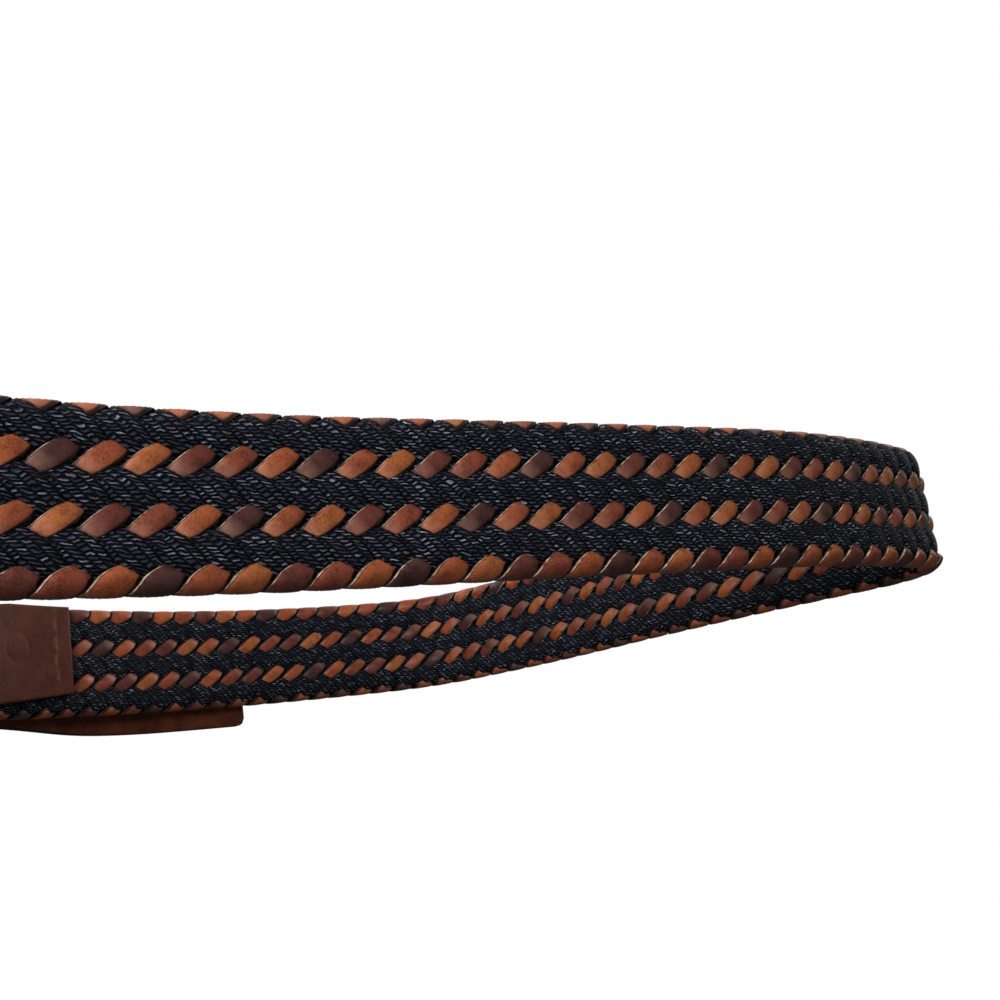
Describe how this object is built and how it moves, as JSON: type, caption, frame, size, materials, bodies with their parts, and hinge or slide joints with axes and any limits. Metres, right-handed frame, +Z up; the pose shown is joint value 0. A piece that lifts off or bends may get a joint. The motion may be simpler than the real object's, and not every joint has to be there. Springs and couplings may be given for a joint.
{
  "type": "braided belt",
  "caption": "Braided belt of flat leather strips and round cords with a leather tab, keeper, buckle and strap, fastened as a loop that stands on its edge.",
  "frame": {"origin": "under the middle of the loop, on the surface that the belt stands on", "axes": "+Z up across the width of the belt; the camera of the picture looks along +Y and a little down, with the bend towards -X and the buckle towards +X"},
  "size_m": [0.3184, 0.3128, 0.0412],
  "materials": {
    "braid": "glazed leather strips in six browns braided with dark navy cotton cord",
    "tab_leather": "waxed brown leather, straight cut edges",
    "strap_leather": "dark brown leather, painted edges",
    "buckle_metal": "brushed"
  },
  "bodies": {
    "root": {"braided_band": "braid", "buckle_tab": "tab_leather", "keeper_loop": "tab_leather", "buckle": "buckle_metal", "tip_strap": "strap_leather"}
  },
  "joints": []
}
